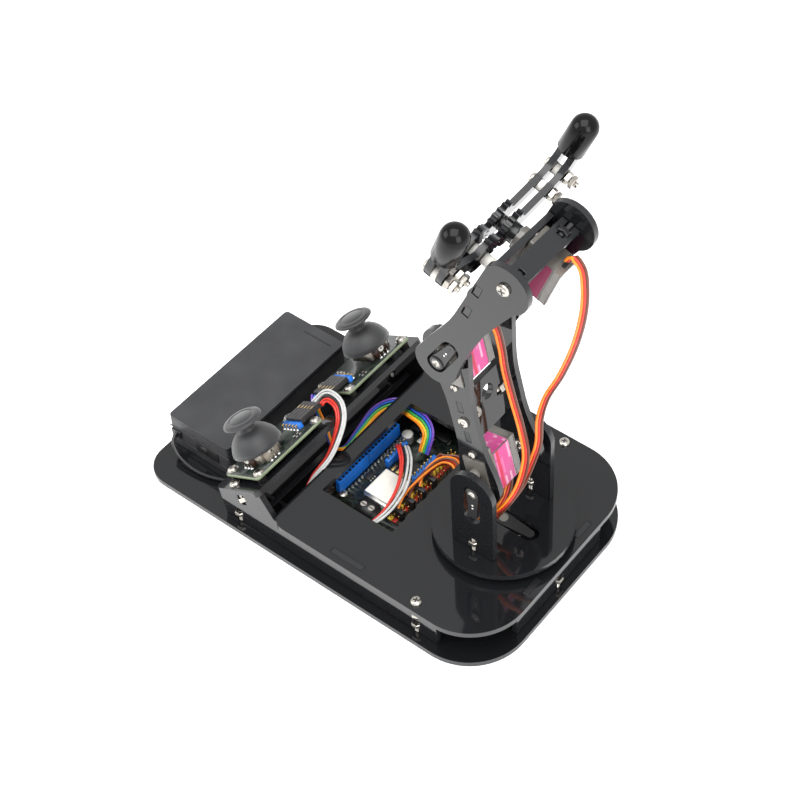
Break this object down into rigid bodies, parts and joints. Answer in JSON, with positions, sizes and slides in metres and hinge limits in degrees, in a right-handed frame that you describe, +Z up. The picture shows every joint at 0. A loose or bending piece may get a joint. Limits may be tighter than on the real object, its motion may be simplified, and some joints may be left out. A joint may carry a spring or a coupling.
{
  "type": "desktop servo robot arm kit",
  "caption": "Desktop robot arm with a turntable, jointed arm and geared gripper on a slotted acrylic base, with two joysticks, a controller board and a battery box.",
  "frame": {"origin": "under the turntable's axis, on the underside of the base plate", "axes": "+X from the joysticks towards the arm, +Y to the left seen from the joysticks, +Z up"},
  "size_m": [0.217, 0.131, 0.2571],
  "materials": {
    "acrylic": "gloss black laser-cut acrylic",
    "matte_black": "fine-grained moulded black plastic",
    "stick_rubber": "soft-touch dark grey plastic",
    "soft_black": "glossy black vinyl cap",
    "circuit_board": "black solder mask on glass fibre",
    "gimbal_steel": "pressed steel",
    "servo_case": "smoky translucent plastic with a pink label",
    "nylon": "white nylon",
    "screw_steel": "nickel-plated screws and nuts",
    "header_blue": "blue pin header",
    "servo_lead": "orange, red and brown ribbon lead",
    "black_lead": "black insulated wire",
    "jumper_wire": "coloured jumper wires",
    "cell_wrap": "plain heat-shrink sleeve"
  },
  "bodies": {
    "base": {"base_plate": "acrylic", "top_deck": "acrylic", "side_wall_near": "acrylic", "side_wall_far": "acrylic", "front_wall": "acrylic", "rear_cross_wall": "acrylic", "joystick_panel": "acrylic", "battery_case": "matte_black", "battery_cell_a": "cell_wrap", "battery_cell_b": "cell_wrap", "controller_board": "circuit_board", "shield_header": "header_blue", "base_servo": "servo_case", "joystick_board_near": "circuit_board", "joystick_board_far": "circuit_board", "joystick_gimbal_near": "gimbal_steel", "joystick_gimbal_far": "gimbal_steel", "jumper_plug_near": "matte_black", "jumper_plug_far": "matte_black", "jumper_bundle_near": "jumper_wire", "jumper_bundle_far": "jumper_wire", "battery_lead": "black_lead", "servo_loom": "servo_lead"},
    "battery_cover": {"battery_lid": "matte_black"},
    "power_switch": {"battery_switch": "nylon"},
    "reset_key": {"reset_button": "nylon"},
    "rocker_near": {"joystick_rocker_near": "nylon"},
    "stick_near": {"joystick_shaft_near": "nylon"},
    "thumb_cap_near": {"joystick_cap_near": "stick_rubber"},
    "rocker_far": {"joystick_rocker_far": "nylon"},
    "stick_far": {"joystick_shaft_far": "nylon"},
    "thumb_cap_far": {"joystick_cap_far": "stick_rubber"},
    "turntable": {"turntable_disc": "acrylic", "base_servo_horn": "matte_black", "shoulder_bracket_near": "acrylic", "shoulder_bracket_far": "acrylic", "shoulder_horn": "matte_black", "shoulder_pivot_screw": "screw_steel"},
    "upper_arm": {"upper_arm_plate_near": "acrylic", "upper_arm_plate_far": "acrylic", "upper_arm_cross_plate": "acrylic", "shoulder_servo": "servo_case", "elbow_servo": "servo_case", "elbow_lead": "servo_lead", "shoulder_lead": "servo_lead"},
    "forearm": {"forearm_plate_near": "acrylic", "forearm_plate_far": "acrylic", "elbow_horn": "matte_black", "elbow_pivot_screw": "screw_steel", "palm_plate": "acrylic", "wrist_cross_bar": "acrylic", "gripper_servo": "servo_case", "idler_pivot_screw": "screw_steel", "gripper_lead": "servo_lead"},
    "finger_far": {"finger_lower_plate_far": "acrylic", "finger_upper_plate_far": "acrylic", "finger_cap_far": "soft_black"},
    "finger_near": {"finger_lower_plate_near": "acrylic", "finger_upper_plate_near": "acrylic", "finger_cap_near": "soft_black"}
  },
  "joints": [
    {"name": "turntable_yaw", "type": "hinge", "parent": "base", "child": "turntable", "pos_m": [0, 0, 0.029], "axis": [0, 0, 1], "range_deg": [-90, 90], "deforming": ["servo_loom"]},
    {"name": "shoulder_pitch", "type": "hinge", "parent": "turntable", "child": "upper_arm", "pos_m": [0, 0, 0.073], "axis": [0, 1, 0], "range_deg": [-30, 70], "deforming": ["elbow_lead", "shoulder_lead"]},
    {"name": "elbow_pitch", "type": "hinge", "parent": "upper_arm", "child": "forearm", "pos_m": [-0.017, 0, 0.15], "axis": [0, 1, 0], "range_deg": [-50, 75], "deforming": ["gripper_lead"]},
    {"name": "gripper_close", "type": "hinge", "parent": "forearm", "child": "finger_far", "pos_m": [-0.00284, 0.0095, 0.21125], "axis": [0.9367, 0, -0.3502], "range_deg": [-5, 48]},
    {"name": "idler_close", "type": "hinge", "parent": "forearm", "child": "finger_near", "pos_m": [-0.00284, -0.0095, 0.21125], "axis": [0.9367, 0, -0.3502], "range_deg": [-48, 5]},
    {"name": "stick_pitch_near", "type": "hinge", "parent": "base", "child": "rocker_near", "pos_m": [-0.11669, -0.0415, 0.04009], "axis": [0, 1, 0], "range_deg": [-18, 18], "stiffness_Nm_per_rad": 0.06},
    {"name": "stick_roll_near", "type": "hinge", "parent": "rocker_near", "child": "stick_near", "pos_m": [-0.11669, -0.0415, 0.04009], "axis": [0.8653, 0, 0.5012], "range_deg": [-18, 18], "stiffness_Nm_per_rad": 0.06},
    {"name": "stick_press_near", "type": "slide", "parent": "stick_near", "child": "thumb_cap_near", "axis": [0.5012, 0, -0.8653], "range_m": [0, 0.0004], "stiffness_N_per_m": 2500},
    {"name": "stick_pitch_far", "type": "hinge", "parent": "base", "child": "rocker_far", "pos_m": [-0.11669, 0.0415, 0.04009], "axis": [0, 1, 0], "range_deg": [-18, 18], "stiffness_Nm_per_rad": 0.06},
    {"name": "stick_roll_far", "type": "hinge", "parent": "rocker_far", "child": "stick_far", "pos_m": [-0.11669, 0.0415, 0.04009], "axis": [0.8653, 0, 0.5012], "range_deg": [-18, 18], "stiffness_Nm_per_rad": 0.06},
    {"name": "stick_press_far", "type": "slide", "parent": "stick_far", "child": "thumb_cap_far", "axis": [0.5012, 0, -0.8653], "range_m": [0, 0.0004], "stiffness_N_per_m": 2500},
    {"name": "lid_slide", "type": "slide", "parent": "base", "child": "battery_cover", "axis": [0, 1, 0], "range_m": [0, 0.075]},
    {"name": "power_slide", "type": "slide", "parent": "base", "child": "power_switch", "axis": [1, 0, 0], "range_m": [0, 0.0035]},
    {"name": "reset_press", "type": "slide", "parent": "base", "child": "reset_key", "axis": [0, 0, -1], "range_m": [0, 0.00025], "stiffness_N_per_m": 1500}
  ],
  "couplings": [
    {"joint": "idler_close", "follows": "gripper_close", "ratio": -1}
  ]
}
